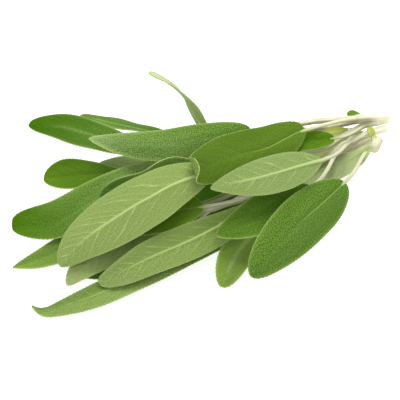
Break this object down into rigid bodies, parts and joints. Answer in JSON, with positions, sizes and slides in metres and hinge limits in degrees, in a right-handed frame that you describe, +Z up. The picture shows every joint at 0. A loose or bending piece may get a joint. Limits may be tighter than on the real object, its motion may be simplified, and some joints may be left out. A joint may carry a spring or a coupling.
{
  "type": "sage bunch",
  "caption": "Loose bunch of cut garden sage lying flat: leafy sprigs with long oval leaves, some showing their pale undersides, and their cut stem ends together.",
  "frame": {"origin": "centre of the bunch's bounding box, on the surface that it lies on", "axes": "+Z up from the surface, +X along the bunch towards the cut ends of the stems, so that the leaf tips point along -X"},
  "size_m": [0.1821, 0.1149, 0.0388],
  "materials": {
    "sage": "matt grey-green leaf with fine hairs, paler yellow-green underneath, on whitish woolly stems"
  },
  "bodies": {
    "root": {"top_sprig": "sage", "upper_sprig": "sage", "middle_sprig": "sage", "front_sprig": "sage", "low_sprig": "sage", "back_sprig": "sage"}
  },
  "joints": []
}
